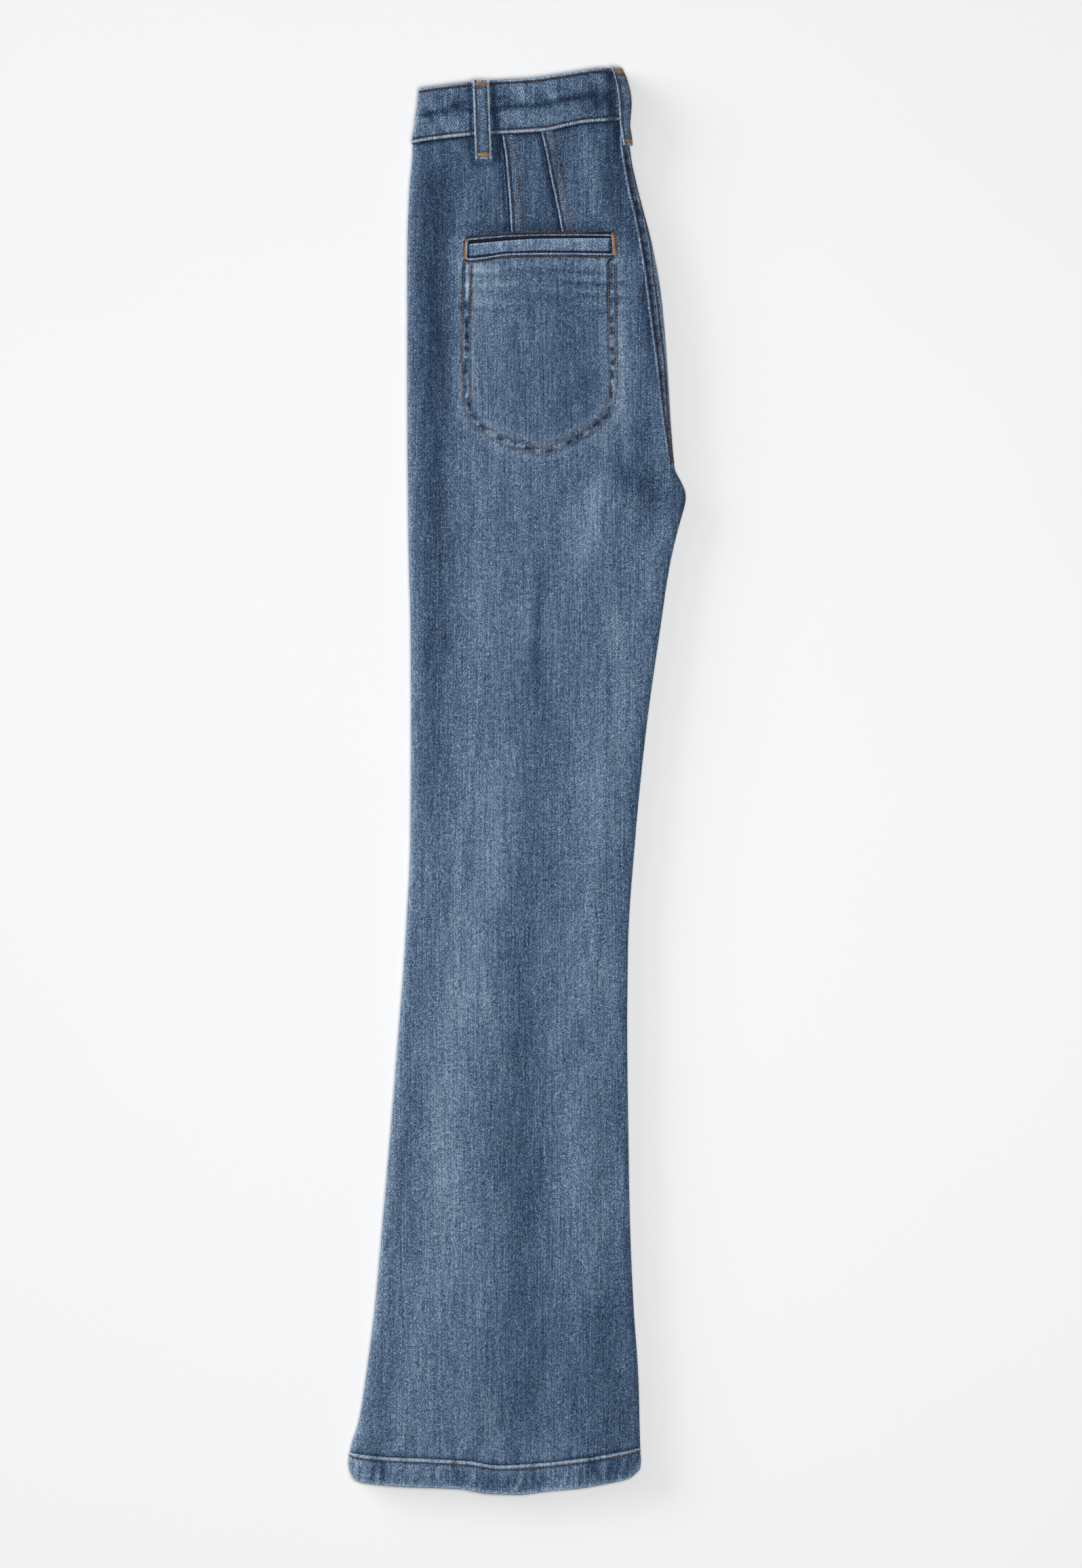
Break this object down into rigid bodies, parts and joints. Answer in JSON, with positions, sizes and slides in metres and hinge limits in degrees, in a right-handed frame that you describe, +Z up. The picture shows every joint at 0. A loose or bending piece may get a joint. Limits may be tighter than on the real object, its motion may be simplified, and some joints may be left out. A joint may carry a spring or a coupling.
{
  "type": "flared jeans folded flat",
  "caption": "High-rise flared denim jeans, folded in half along the centre back and laid flat with the left back panel and its welt pocket up.",
  "frame": {"origin": "centre of the bounding box on the plane the jeans lie on", "axes": "+Y along the leg towards the waist, +X towards the inseam and the centre back fold, +Z up from the surface"},
  "size_m": [0.2798, 1.1846, 0.0175],
  "materials": {
    "denim": "washed blue stretch denim, right-hand twill",
    "denim_edges": "washed blue stretch denim along the folds",
    "waistband_denim": "washed blue denim, worn pale along its lower ridge",
    "hem_denim": "washed blue denim with roping marks",
    "denim_trim": "washed blue denim with paler worn edges",
    "pocket_cloth": "plain woven pocket cloth"
  },
  "bodies": {
    "root": {"left_back_panel": "denim", "right_back_panel": "denim", "front_panels": "denim_edges", "pocket_bag": "pocket_cloth", "pocket_welt": "denim_trim", "waistband_back": "waistband_denim", "waistband_front": "waistband_denim", "belt_loop_side": "denim_trim", "belt_loop_centre": "denim_trim", "hem_left": "hem_denim", "hem_right": "hem_denim"}
  },
  "joints": []
}
